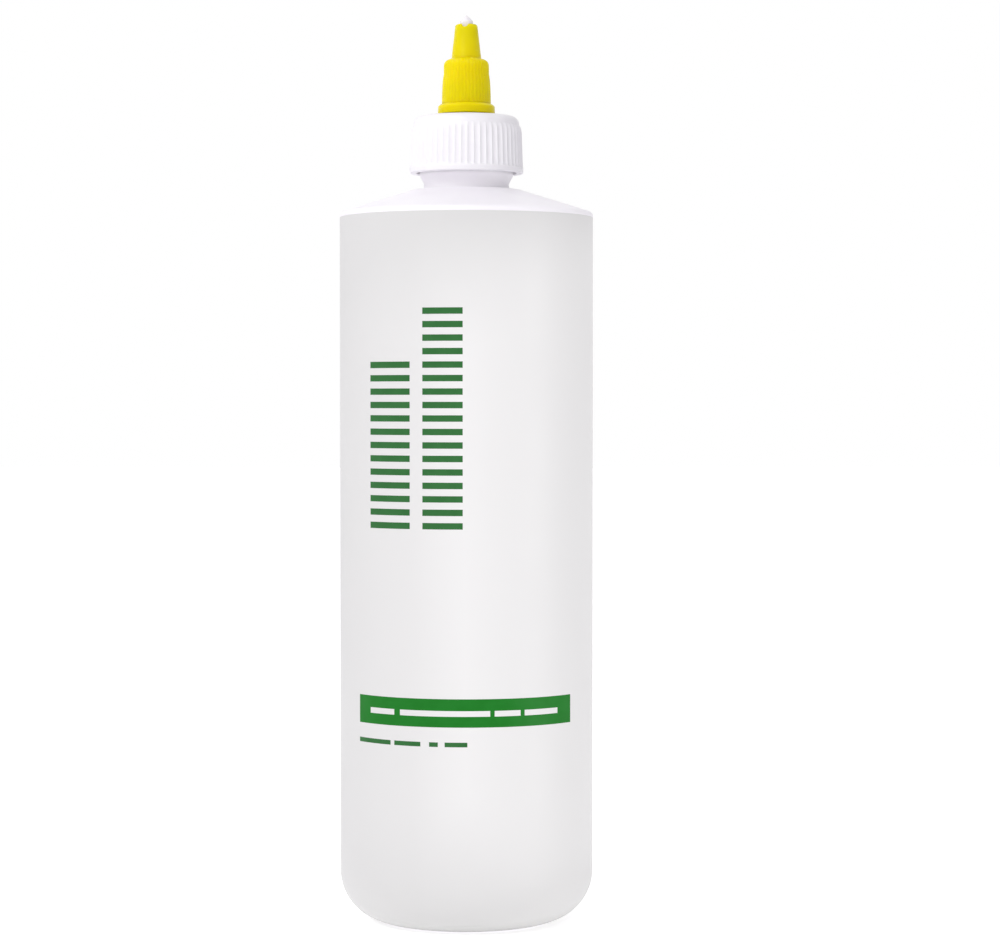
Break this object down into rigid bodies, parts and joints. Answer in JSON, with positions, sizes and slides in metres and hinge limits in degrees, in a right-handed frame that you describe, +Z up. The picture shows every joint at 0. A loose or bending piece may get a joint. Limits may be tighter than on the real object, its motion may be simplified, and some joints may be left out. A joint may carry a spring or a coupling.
{
  "type": "nail polish remover bottle",
  "caption": "Round plastic bottle with a shrink label sleeve, a ribbed screw cap and a twist-open pouring nozzle sealed by a central pin.",
  "frame": {"origin": "centre of the foot, on the surface the bottle stands on", "axes": "+Z up along the bottle's axis, -Y towards the front of the label, +X to the right seen from the front"},
  "size_m": [0.0508, 0.0508, 0.1817],
  "materials": {
    "natural_white_hdpe": "soft satin, slightly milky",
    "pale_grey_sleeve": "satin printed film",
    "white_foam": "matte closed-cell foam",
    "white_polypropylene": "semi-gloss moulded",
    "clear_polyethylene": "semi-gloss, milky and slightly see-through",
    "yellow_polyethylene": "semi-gloss moulded"
  },
  "bodies": {
    "bottle": {"bottle": "natural_white_hdpe", "label_sleeve": "pale_grey_sleeve"},
    "liner": {"cap_liner": "white_foam"},
    "cap": {"screw_cap": "white_polypropylene"},
    "pin": {"sealing_pin": "clear_polyethylene"},
    "nozzle": {"twist_nozzle": "yellow_polyethylene"}
  },
  "joints": [
    {"name": "cap_lift", "type": "slide", "parent": "bottle", "child": "liner", "axis": [0, 0, 1], "range_m": [0, 0.0127]},
    {"name": "cap_turn", "type": "hinge", "parent": "liner", "child": "cap", "pos_m": [0, 0, 0.1493], "axis": [0, 0, 1], "range_deg": [0, 1440]},
    {"name": "nozzle_turn", "type": "hinge", "parent": "cap", "child": "pin", "pos_m": [0, 0, 0.1634], "axis": [0, 0, 1], "range_deg": [0, 180]},
    {"name": "nozzle_lift", "type": "slide", "parent": "pin", "child": "nozzle", "axis": [0, 0, 1], "range_m": [0, 0.003]}
  ],
  "couplings": [
    {"joint": "cap_turn", "follows": "cap_lift", "rad_per_m": 1979},
    {"joint": "nozzle_turn", "follows": "nozzle_lift", "rad_per_m": 1047.2}
  ]
}
